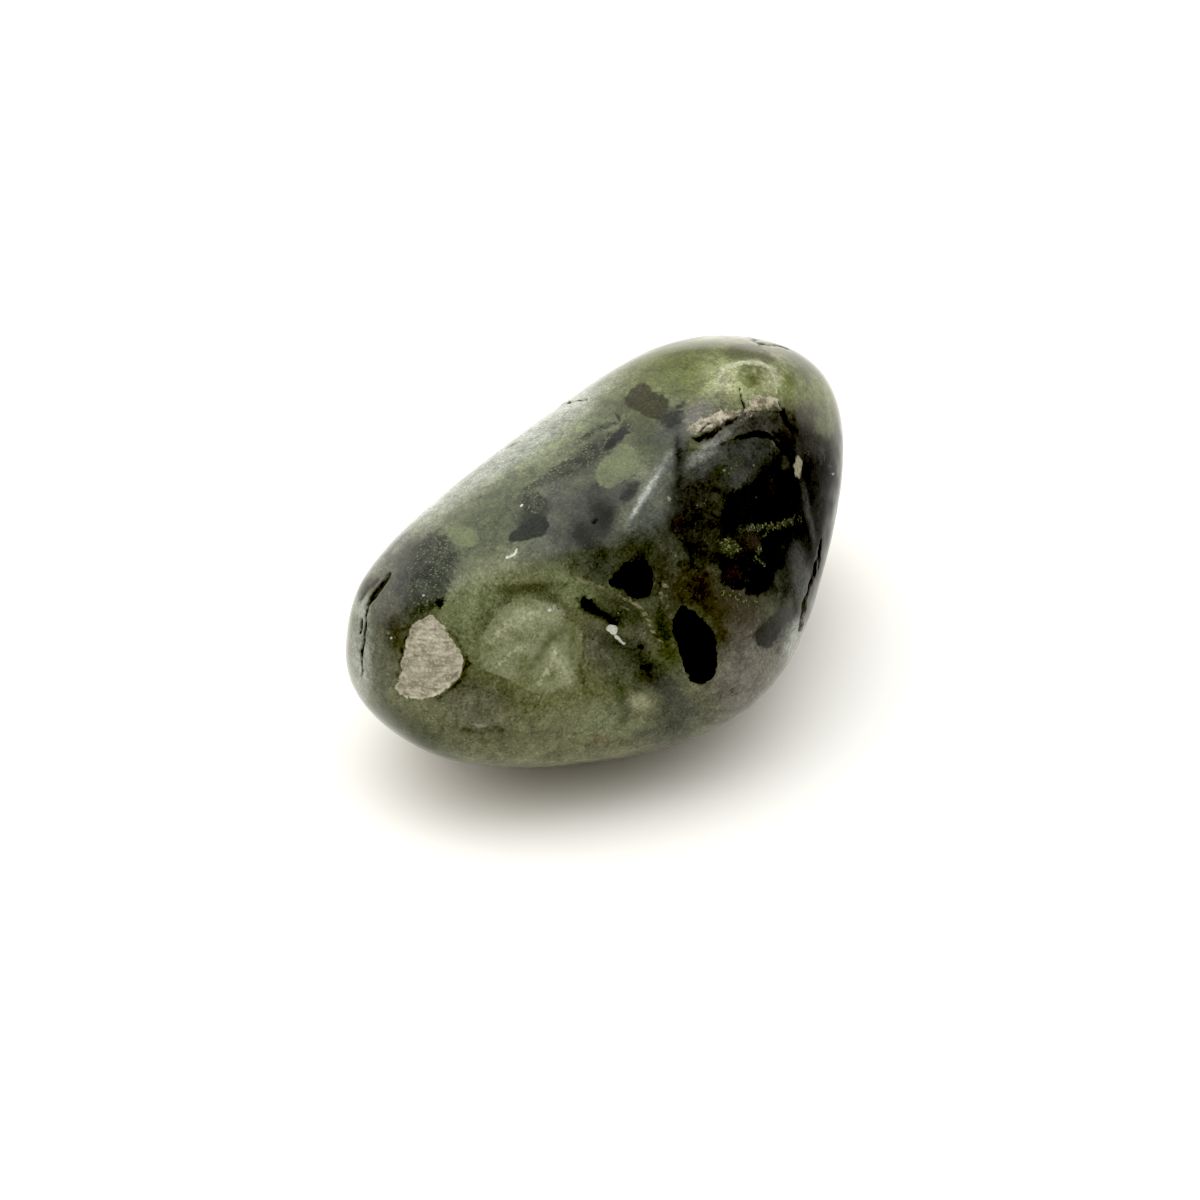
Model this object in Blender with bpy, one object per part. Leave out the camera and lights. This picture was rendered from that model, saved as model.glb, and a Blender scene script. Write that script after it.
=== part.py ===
"""Amphibole tumbled stone: one solid pebble that lies on a small flat spot.

The stone is a rounded body with broken faces ground into it. Every face is given by the
way it looks and by its distance from the stone's middle, and tumbling has rounded the
edges where faces meet. Shallow hollows are then worn into the skin, and a small flat is
cut at the bottom.

Units are metres. Z is up, X runs along the stone. The origin is on the surface that the
stone lies on, under the middle of its outline.
"""

import math

import bmesh
import bpy
from mathutils import Vector

NAME = "amphibole_tumbled_stone"
MM = 0.001

# The rounded body, as half sizes from the stone's middle
BODY_HALF_LENGTH = 17.0 * MM
BODY_HALF_WIDTH = 10.5 * MM
BODY_RISE = 9.0 * MM
BODY_DEPTH = 6.15 * MM

# The higher this number, the sharper the edges between the faces
EDGE_SHARPNESS = 9

# Broken faces: heading from +X towards +Y and tilt up, in degrees, and distance in mm
FACES = {
    "far_slope": (89, 27, 6.3),
    "far_end_top": (43, 52, 9.95),
    "far_end": (-10, 29, 15.35),
    "right_side": (-58, -14, 9.65),
    "right_underside": (-83, -36, 10.35),
    "near_underside": (-134, -44, 8.55),
    "left_underside": (171, -39, 10.85),
    "left_end": (141, 6, 14.65),
    "left_shoulder": (106, 3, 7.8),
    "top": (134, 79, 6.75),
    "near_side": (-125, 29, 7.65),
    "near_foot": (-109, -1, 9.7),
    "near_end": (180, 10, 12.85),
    "right_shoulder": (-68, 28, 8.65),
    "tail": (4, -13, 13.55),
    "back_side": (85, -12, 8.15),
    "back_underside": (60, -50, 8.0),
    "back_end": (108, -37, 10.05),
}

# Hollows worn into the skin: heading and tilt in degrees, radius and depth in mm
HOLLOWS = {
    "dark_hollow": (-62, 36, 2.8, 0.50),
    "middle_saddle": (-105, 62, 2.6, 0.20),
    "left_end_dip": (166, 12, 2.4, 0.20),
    "back_dip": (64, 2, 3.4, 0.30),
    "tail_dip": (12, 6, 2.4, 0.20),
    "underside_dip": (-30, -52, 2.6, 0.20),
}

# The flat that the stone lies on, below the stone's middle, and the merge distance there
FLAT_DEPTH = 5.9 * MM
FLAT_SNAP = 0.06 * MM

# Splitting an icosahedron this far gives 5120 triangles, about 0.7 mm on a side
SPHERE_SUBDIVISIONS = 5

# Pale green quartz-rich matrix, polished by tumbling
STONE_COLOUR = (0.20, 0.22, 0.13, 1.0)
STONE_ROUGHNESS = 0.2


def facing(heading, tilt):
    """Unit vector for a heading about Z and a tilt above the horizontal, in degrees."""
    turn = math.radians(heading)
    rise = math.radians(tilt)
    return Vector((math.cos(turn) * math.cos(rise), math.sin(turn) * math.cos(rise), math.sin(rise)))


def rounded_reach(way):
    """Distance from the stone's middle to its rounded skin in the direction way."""
    half_height = BODY_RISE if way.z > 0 else BODY_DEPTH
    body = Vector((way.x / BODY_HALF_LENGTH, way.y / BODY_HALF_WIDTH, way.z / half_height)).length
    total = body ** EDGE_SHARPNESS
    for heading, tilt, distance in FACES.values():
        share = way.dot(facing(heading, tilt)) / (distance * MM)
        if share > 0:
            total += share ** EDGE_SHARPNESS
    return total ** (-1.0 / EDGE_SHARPNESS)


def worn_away(point):
    """Depth that the hollows take off the skin at point."""
    depth_here = 0.0
    for heading, tilt, radius, depth in HOLLOWS.values():
        way = facing(heading, tilt)
        gap = (point - way * rounded_reach(way)).length / (radius * MM)
        depth_here += depth * MM * math.exp(-gap * gap)
    return depth_here


def shape_stone(mesh_data):
    """Push a unit sphere's points out to the stone's skin.

    The sphere is first stretched like the body, so that the triangles come out even.
    """
    for vertex in mesh_data.verts:
        stretched = (
            vertex.co.x * BODY_HALF_LENGTH,
            vertex.co.y * BODY_HALF_WIDTH,
            vertex.co.z * BODY_RISE,
        )
        way = Vector(stretched).normalized()
        point = way * rounded_reach(way)
        vertex.co = point - way * worn_away(point)


def cut_flat(mesh_data):
    """Cut the bottom off level and close it, so that the stone lies still."""
    geometry = mesh_data.verts[:] + mesh_data.edges[:] + mesh_data.faces[:]
    cut = bmesh.ops.bisect_plane(
        mesh_data,
        geom=geometry,
        dist=FLAT_SNAP,
        plane_co=(0.0, 0.0, -FLAT_DEPTH),
        plane_no=(0.0, 0.0, -1.0),
        use_snap_center=True,
        clear_outer=True,
    )
    rim = [item for item in cut["geom_cut"] if isinstance(item, bmesh.types.BMEdge)]
    bmesh.ops.contextual_create(mesh_data, geom=rim)
    bmesh.ops.recalc_face_normals(mesh_data, faces=mesh_data.faces[:])


def centre_on_origin(mesh_data):
    """Bring the flat to Z = 0 and the middle of the outline over the origin."""
    middle_x = (min(v.co.x for v in mesh_data.verts) + max(v.co.x for v in mesh_data.verts)) / 2
    middle_y = (min(v.co.y for v in mesh_data.verts) + max(v.co.y for v in mesh_data.verts)) / 2
    bmesh.ops.translate(mesh_data, verts=mesh_data.verts[:], vec=(-middle_x, -middle_y, FLAT_DEPTH))


def stone_material():
    """Polished pale green stone."""
    material = bpy.data.materials.new("polished_green_stone")
    material.use_nodes = True
    shader = material.node_tree.nodes["Principled BSDF"]
    shader.inputs["Base Color"].default_value = STONE_COLOUR
    shader.inputs["Roughness"].default_value = STONE_ROUGHNESS
    shader.inputs["Metallic"].default_value = 0.0
    return material


def make_stone(collection):
    """The whole stone, as one closed solid."""
    mesh_data = bmesh.new()
    bmesh.ops.create_icosphere(mesh_data, subdivisions=SPHERE_SUBDIVISIONS, radius=1.0)
    shape_stone(mesh_data)
    cut_flat(mesh_data)
    centre_on_origin(mesh_data)
    mesh = bpy.data.meshes.new("tumbled_stone")
    mesh_data.to_mesh(mesh)
    mesh_data.free()
    mesh.shade_smooth()
    mesh.set_sharp_from_angle(angle=math.radians(40))
    mesh.materials.append(stone_material())
    stone = bpy.data.objects.new("tumbled_stone", mesh)
    collection.objects.link(stone)
    return stone


def main():
    """Clear the scene and model the stone."""
    for thing in list(bpy.data.objects):
        bpy.data.objects.remove(thing)
    collection = bpy.data.collections.new(NAME)
    bpy.context.scene.collection.children.link(collection)
    make_stone(collection)


main()
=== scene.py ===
"""Looks of the amphibole tumbled stone: its polished skin, its minerals, the floor and the light.

The stone is one piece. Its shape follows the rule of its construction: a rounded body with
broken faces, hollows worn in, and a flat at the bottom. The skin is finer here, and carries
the small steps, cracks and pits of the real stone.

The minerals are drawn on charts. A chart is the stone as seen from one side, in millimetres
from the stone's middle, with u to the right and v up. Every point of the skin keeps how deep
it lies inside the outlines of each mineral, and the material turns those depths into colour,
gloss and relief.
"""

import math

import bmesh
import bpy
import numpy as np
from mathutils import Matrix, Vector, noise


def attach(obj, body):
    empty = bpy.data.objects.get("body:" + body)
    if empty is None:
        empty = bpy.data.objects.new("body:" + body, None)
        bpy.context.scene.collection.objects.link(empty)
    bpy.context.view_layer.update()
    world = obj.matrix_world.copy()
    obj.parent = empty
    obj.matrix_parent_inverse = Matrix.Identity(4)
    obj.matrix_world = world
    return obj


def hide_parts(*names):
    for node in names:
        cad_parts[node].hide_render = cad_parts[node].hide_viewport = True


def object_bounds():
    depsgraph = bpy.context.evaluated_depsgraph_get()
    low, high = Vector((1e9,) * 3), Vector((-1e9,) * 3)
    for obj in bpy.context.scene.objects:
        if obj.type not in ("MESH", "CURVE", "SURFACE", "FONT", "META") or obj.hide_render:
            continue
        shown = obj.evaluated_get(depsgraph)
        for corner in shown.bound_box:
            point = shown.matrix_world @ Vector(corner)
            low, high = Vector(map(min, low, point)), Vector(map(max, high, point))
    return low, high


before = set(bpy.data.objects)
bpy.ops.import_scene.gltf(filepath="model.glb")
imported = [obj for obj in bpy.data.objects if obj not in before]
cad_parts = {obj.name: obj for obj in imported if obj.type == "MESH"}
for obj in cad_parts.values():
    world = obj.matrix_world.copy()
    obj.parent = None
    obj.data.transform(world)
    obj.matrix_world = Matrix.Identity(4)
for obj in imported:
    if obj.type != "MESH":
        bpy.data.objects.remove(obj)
cad_low, cad_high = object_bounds()

MM = 0.001

# Shape of the stone, as it is constructed

BODY_HALF_LENGTH = 17.0 * MM
BODY_HALF_WIDTH = 10.5 * MM
BODY_RISE = 9.0 * MM
BODY_DEPTH = 6.15 * MM
EDGE_SHARPNESS = 9
FLAT_DEPTH = 5.9 * MM

# Broken faces: heading from +X towards +Y and tilt up, in degrees, and distance in mm
FACES = {
    "far_slope": (89, 27, 6.3),
    "far_end_top": (43, 52, 9.95),
    "far_end": (-10, 29, 15.35),
    "right_side": (-58, -14, 9.65),
    "right_underside": (-83, -36, 10.35),
    "near_underside": (-134, -44, 8.55),
    "left_underside": (171, -39, 10.85),
    "left_end": (141, 6, 14.65),
    "left_shoulder": (106, 3, 7.8),
    "top": (134, 79, 6.75),
    "near_side": (-125, 29, 7.65),
    "near_foot": (-109, -1, 9.7),
    "near_end": (180, 10, 12.85),
    "right_shoulder": (-68, 28, 8.65),
    "tail": (4, -13, 13.55),
    "back_side": (85, -12, 8.15),
    "back_underside": (60, -50, 8.0),
    "back_end": (108, -37, 10.05),
}

# Hollows worn into the skin: heading and tilt in degrees, radius and depth in mm
HOLLOWS = {
    "dark_hollow": (-62, 36, 2.8, 0.50),
    "middle_saddle": (-105, 62, 2.6, 0.20),
    "left_end_dip": (166, 12, 2.4, 0.20),
    "back_dip": (64, 2, 3.4, 0.30),
    "tail_dip": (12, 6, 2.4, 0.20),
    "underside_dip": (-30, -52, 2.6, 0.20),
}

# Splitting an icosahedron this far gives 81,920 triangles, about 0.17 mm on a side
SPHERE_SUBDIVISIONS = 7

# Triangles are split again where a crack, a white chip, a rough patch, a step or a ridge is this
# near, in mm. The edges of those minerals are taken to be this wide there, and a step or a ridge
# counts where its chart shows it by more than this share.
FINE_REACHES = (0.28, 0.12)
FINE_MINERALS = ("crack", "sandstone", "chalk")
FINE_EDGE = 0.05
FINE_SHOWN = 0.5

QUARTER_TURN = 90.0

# The view of the photograph: from the stone towards the camera, in degrees
VIEW_HEADING = -138.0
VIEW_TILT = 45.0
VIEW_DISTANCE = 141.2 * MM
LENS_LENGTH = 100.0
SENSOR_WIDTH = 36.0

# The camera aims this far below the stone's middle, so that the stone sits above the centre
AIM_DROP = 1.48 * MM

# Nothing nearer to the camera than this is drawn
CAMERA_NEAR = 10.0 * MM

# Charts: heading and tilt that each is seen from, in degrees. The front one is the camera's.
CHARTS = {
    "front": (VIEW_HEADING, VIEW_TILT),
    "back": (42.0, 22.0),
}

# How far a mark reaches round the edge of its chart, as the cosine between the way that the skin
# faces and the way to the chart's eye: full above the first, gone below the second
CHART_FULL = 0.02
CHART_GONE = -0.22

# Depths inside a mark are kept in widths of its fading edge, up to this many. A mark is worked
# out as far as this many edge widths round it.
DEPTH_LIMIT = 30.0
DEPTH_REACH = 6.0

# Outlines and lines are rounded by cutting their corners this often, at this share of each run
CORNER_CUTS = 2
CORNER_SHARE = 0.25

# How much thinner a line of mineral is at its ends
LINE_TAPER = 0.6

# How fast a cloud fades with the distance from its middle, counted in half sizes, and the power
# that the distance is raised to: the higher, the crisper its border
CLOUD_FADE = 0.6
CLOUD_CRISPNESS = 4

# How patchy the clouds are, as a share of their size, the size of the patches in mm, and how
# many layers of noise they are made of
CLOUD_PATCHINESS = 0.25
CLOUD_PATCH_SIZE = 0.7
CLOUD_PATCH_LAYERS = 3

# Each layer of noise is this many times finer than the one before it, and fainter by that number
# to this power
LAYER_STEP = 2.0
LAYER_FADE = 1.0

# Tones of the matrix: colour and how strongly it mirrors
TONES = {
    "field": ("#5c5e47", 0.30), "meadow": ("#6c6e51", 0.30), "sage": ("#73785b", 0.30),
    # The two palest greys on the next line are painted reflection: the bright light mirrored in the
    # polish, not the stone's colour.
    "pale_sheen": ("#84887d", 0.35), "bright_reflection": ("#9c9e94", 0.35), "moss": ("#41462f", 0.30),
    "olive": ("#4e5429", 0.30), "grass": ("#63693f", 0.25), "straw": ("#8c8f6a", 0.25),
    "cream": ("#9c9c7e", 0.25), "pale_leaf": ("#b2b498", 0.30), "fog": ("#4f5144", 0.30),
    "loam": ("#4a4a3f", 0.28), "shade": ("#3e4037", 0.28), "ash": ("#33332b", 0.28),
    "pine": ("#2a2c21", 0.25), "cinder": ("#1b1a14", 0.20), "bark": ("#383529", 0.25),
    "blush": ("#4a463b", 0.25), "mist": ("#65625a", 0.25), "tan": ("#67604b", 0.25),
    "ink": ("#1d1d1c", 0.02), "soot": ("#2b2a25", 0.05), "coal": ("#363732", 0.08),
    # The first two greys on the next line are painted sheen and highlight, not the stone's colour.
    "dark_sheen": ("#474843", 0.10), "grey_reflection": ("#74766e", 0.12), "mauve": ("#403e3a", 0.10),
}
BASE_TONE = "field"

# Clouds of tone in the matrix on each chart, from the lowest up: tone, middle, half length, half
# width, turn in degrees, and strength
# Some of the front chart's clouds are painted reflection, highlight or shade, as noted where they stand.
CLOUDS = {
    "back": [
        ("moss", -4.0, 2.5, 4.2, 1.8, 10, 0.8),
        ("olive", 2.6, 4.4, 3.6, 1.3, -8, 0.7),
        ("sage", 5.2, 1.0, 2.6, 1.6, -20, 0.6),
        ("ash", 0.4, 0.2, 2.4, 1.5, 15, 0.8),
        ("fog", 2.3, -1.4, 1.4, 1.0, 0, 0.6),
        ("meadow", -5.2, 2.6, 4.2, 1.1, -14, 0.8),
        ("coal", -9.9, -3.2, 2.4, 1.5, 80, 0.9),
        ("shade", -7.6, -2.2, 1.6, 1.2, 0, 0.8),
        ("meadow", -2.4, -3.4, 2.8, 1.4, 6, 0.7),
        ("shade", 7.4, -1.6, 1.2, 1.0, 40, 0.7),
        ("blush", 8.6, 0.9, 1.0, 1.3, 0, 0.6),
        ("tan", -0.6, -5.0, 1.5, 0.5, 0, 0.5),
    ],
    "front": [
        ("meadow", -2.2, -6.6, 6.2, 1.9, 0, 0.9),
        ("moss", -8.2, -7.0, 2.3, 0.6, -36, 0.95),
        ("pine", -7.6, -7.9, 0.8, 0.35, -30, 0.8),
        ("sage", -2.6, 4.6, 6.0, 1.4, 38, 0.9),
        # Painted reflection: the pale clouds here, along the far rim and down the left end, stand for the
        # bright light mirrored in the polish. The dark spot among them is the stone's own.
        ("pale_sheen", -3.8, 5.2, 7.2, 0.8, 36, 0.95),
        ("bright_reflection", -7.4, 2.75, 2.6, 0.34, 43, 0.75),
        ("bright_reflection", -2.8, 6.05, 3.4, 0.30, 33, 0.7),
        ("pale_sheen", -9.3, 0.6, 1.7, 0.5, 48, 0.8),
        ("pale_sheen", -10.1, -3.9, 1.9, 0.42, 88, 0.85),
        ("pine", -9.95, -0.9, 0.5, 0.25, 58, 0.9),
        ("pale_sheen", -10.05, -1.8, 0.5, 0.3, 80, 0.8),
        ("fog", -9.3, -3.4, 2.3, 0.35, 92, 0.6),
        ("moss", -4.7, 1.8, 1.9, 1.25, 25, 0.97),
        ("moss", -5.3, 0.1, 0.9, 0.5, 20, 0.8),
        ("moss", -3.4, 3.3, 1.6, 0.6, 35, 0.8),
        ("meadow", -4.2, -0.4, 1.4, 1.0, 10, 0.8),
        ("sage", -1.3, -0.9, 1.0, 0.6, -45, 0.95),
        ("sage", -6.0, -2.2, 0.8, 1.4, 0, 0.8),
        ("sage", -5.1, -1.5, 0.8, 0.6, 0, 0.8),
        ("sage", -4.9, -3.4, 0.6, 0.8, 0, 0.5),
        ("moss", -4.6, -5.1, 1.4, 0.4, -22, 0.4),
        ("mist", -5.3, -5.8, 1.5, 0.8, -15, 0.5),
        ("loam", -8.7, -1.3, 1.0, 1.8, 10, 0.9),
        ("ash", -7.6, 0.0, 1.1, 1.3, -20, 0.95),
        ("pine", -7.2, 0.5, 0.8, 0.6, 30, 0.8),
        ("shade", 2.9, 1.2, 1.5, 1.9, 0, 0.85),
        ("loam", 3.1, -0.7, 1.2, 1.5, 0, 0.88),
        ("ink", 7.2, 2.2, 4.2, 3.0, 95, 0.98),
        ("ink", 9.2, 4.0, 2.6, 1.2, 95, 0.97),
        ("ink", 8.9, 0.2, 2.6, 0.9, 75, 0.9),
        ("soot", 3.4, 4.9, 0.8, 0.35, 100, 0.9),
        ("soot", 4.0, 3.2, 0.9, 1.3, 0, 0.92),
        ("soot", 4.3, 1.0, 0.6, 1.3, 0, 0.85),
        ("olive", 3.2, 8.3, 2.7, 1.2, 12, 0.9),
        ("olive", 1.8, 6.0, 1.6, 0.8, -45, 0.85),
        ("moss", 2.1, 4.9, 1.2, 0.55, -55, 0.85),
        ("pine", 1.9, 5.8, 1.4, 0.6, -45, 0.5),
        ("moss", 0.2, 6.2, 1.2, 0.6, 40, 0.7),
        ("moss", -0.8, 5.3, 1.5, 0.35, 32, 0.6),
        ("pine", -0.7, 4.35, 1.9, 0.42, 37, 0.75),
        ("pine", -0.3, 4.85, 1.0, 0.3, 37, 0.6),
        ("straw", 6.3, 7.9, 2.0, 1.0, 0, 0.95),
        ("grass", 8.9, 7.6, 1.5, 1.0, -35, 0.95),
        ("soot", 8.8, 5.6, 1.3, 0.8, -12, 0.95),
        ("bark", 9.0, 6.4, 0.7, 0.45, -40, 0.7),
        ("grass", 9.6, 6.0, 0.5, 0.5, 0, 0.5),
        ("tan", 6.6, 9.1, 1.3, 0.3, -8, 0.6),
        ("cream", 5.3, 7.8, 0.32, 0.5, 0, 0.8),
        ("cream", 7.3, 8.0, 0.4, 0.5, 0, 0.7),
        ("moss", 8.5, 8.9, 1.4, 0.35, -35, 0.85),
        ("olive", 3.9, 7.8, 0.5, 0.7, 0, 0.7),
        ("olive", 6.4, 7.8, 0.42, 0.3, 0, 0.75),
        ("olive", 8.4, 8.0, 0.6, 0.25, 30, 0.5),
        ("mist", 4.0, 6.2, 0.9, 0.5, 35, 0.85),
        ("shade", 2.95, 5.75, 0.6, 0.5, 40, 0.95),
        # The next two clouds are a painted highlight on the lit edge under the ledge.
        ("mist", 5.5, 5.95, 1.0, 0.25, 30, 0.75),
        ("mist", 5.05, 5.45, 0.6, 0.18, 32, 0.75),
        ("fog", -2.1, 1.1, 0.9, 0.8, 0, 0.8),
        ("shade", -1.9, 2.6, 1.3, 0.9, 20, 0.8),
        ("shade", 0.8, 3.1, 0.8, 0.5, 40, 0.85),
        ("ash", -0.5, 2.0, 1.2, 1.9, -15, 0.9),
        ("cinder", 0.1, 2.1, 0.55, 0.9, 15, 0.95),
        ("cinder", -0.7, 1.3, 0.5, 0.65, 0, 0.85),
        ("ash", 0.2, 3.1, 0.9, 0.4, 0, 0.5),
        ("ash", 0.9, 0.5, 1.3, 0.9, 0, 0.8),
        ("shade", 0.0, -0.2, 1.0, 0.6, -20, 0.85),
        # Painted sheen: a lighter bluish spot on the dark middle.
        ("fog", 0.5, 0.95, 0.45, 0.3, 0, 0.85),
        ("shade", 1.3, -1.3, 0.6, 0.3, -40, 0.7),
        # Painted shade: a dark arc above the pale leaf.
        ("pine", -2.9, -0.95, 1.2, 0.22, 5, 0.6),
        ("soot", 3.4, 2.1, 0.6, 1.2, 0, 0.8),
        ("bark", 4.7, -1.1, 1.7, 0.8, -20, 0.92),
        ("bark", 5.6, -2.0, 1.4, 0.9, -22, 0.9),
        ("blush", 6.1, -3.0, 1.1, 0.7, -22, 0.85),
        ("mist", 6.2, -4.8, 1.9, 1.2, 50, 0.92),
        ("bark", 5.1, -3.2, 0.4, 0.9, 0, 0.7),
        ("fog", 0.9, -4.6, 1.1, 0.7, -40, 0.7),
        ("mist", -0.2, -3.3, 0.5, 0.9, 0, 0.5),
        ("mist", 1.7, -3.1, 0.6, 0.5, 0, 0.4),
        ("sage", 0.4, -6.6, 1.3, 0.6, 0, 0.7),
        ("shade", 1.0, -2.0, 1.1, 0.6, -35, 0.75),
        ("shade", 0.9, -3.4, 1.2, 0.4, -20, 0.85),
        ("shade", 1.8, -4.2, 0.9, 0.5, -45, 0.85),
        ("ash", 2.3, -4.7, 0.9, 0.5, -50, 0.8),
        ("shade", 3.0, -5.3, 0.5, 0.6, 0, 0.8),
        ("fog", 3.9, -6.2, 0.5, 0.5, 0, 0.8),
        ("fog", 2.9, -7.0, 1.5, 0.5, 15, 0.85),
        ("ash", 3.6, -8.1, 2.0, 0.5, 14, 0.9),
        ("moss", -5.2, -7.1, 2.6, 0.4, -3, 0.45),
        ("moss", 0.95, -5.9, 0.9, 0.3, 100, 0.8),
        ("shade", 3.0, -6.2, 0.6, 0.75, 0, 0.75),
        ("shade", 3.7, -5.8, 0.4, 0.5, 0, 0.4),
        ("cream", 1.75, -5.85, 0.45, 0.35, -30, 0.6),
        ("pine", 2.7, -2.7, 0.35, 0.8, 15, 0.8),
        ("moss", 3.0, -3.9, 0.35, 0.6, 20, 0.9),
        ("tan", 0.1, -7.5, 0.35, 0.3, 0, 0.6),
        ("bark", -8.7, -2.9, 0.35, 0.8, 0, 0.5),
        ("cinder", -2.9, 2.3, 0.8, 0.5, 20, 0.8),
        ("pale_leaf", -3.2, -2.3, 0.9, 0.6, 10, 0.95),
        ("pale_leaf", -2.2, -2.0, 0.5, 0.35, 0, 0.7),
        ("moss", -1.75, -3.3, 0.9, 0.14, 52, 0.7),
        ("pale_leaf", -1.8, -4.1, 1.0, 0.33, -60, 0.95),
        ("pale_leaf", -3.7, -3.4, 0.9, 0.35, -20, 0.6),
        ("shade", 3.05, 4.4, 1.3, 0.3, 62, 0.85),
        # The next two clouds are a painted highlight along the streak's ridge, laid over its real relief.
        ("grey_reflection", 2.2, 3.5, 1.6, 0.22, 58, 0.65),
        ("bright_reflection", 1.85, 2.9, 1.1, 0.09, 58, 0.75),
        ("ink", 3.3, 4.5, 1.0, 0.2, 95, 0.85),
        ("ash", 0.8, 3.15, 0.65, 0.4, 40, 0.7),
        ("mauve", 6.9, 6.1, 1.0, 0.4, 5, 0.9),
        # The next five clouds are painted sheen: grey reflection on the slopes of the dark hollow,
        # brightest under the ledge.
        ("dark_sheen", 4.85, 4.75, 1.0, 0.45, 42, 0.9),
        ("grey_reflection", 4.6, 5.0, 1.1, 0.25, 42, 0.85),
        ("coal", 6.5, 4.7, 1.3, 0.65, 62, 0.9),
        ("coal", 5.7, 3.8, 0.6, 0.4, 60, 0.6),
        ("dark_sheen", 6.6, 5.2, 0.5, 0.25, 40, 0.6),
        # The next two clouds are painted sheen on the right flank.
        ("dark_sheen", 8.5, -0.6, 1.3, 0.38, 100, 0.6),
        ("dark_sheen", 8.75, -1.1, 0.7, 0.2, 80, 0.6),
        ("coal", 8.8, 2.4, 1.2, 0.12, 100, 0.7),
        ("soot", 5.7, 0.95, 0.9, 0.35, 5, 0.8),
        ("soot", 7.2, 1.6, 1.1, 0.22, 10, 0.8),
        # The last two clouds are painted sheen, right of the dark patch low on the right.
        ("dark_sheen", 7.8, -3.0, 0.7, 0.5, 80, 0.8),
        ("pale_sheen", 8.2, -3.2, 0.8, 0.35, 75, 0.9),
    ],
}

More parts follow.
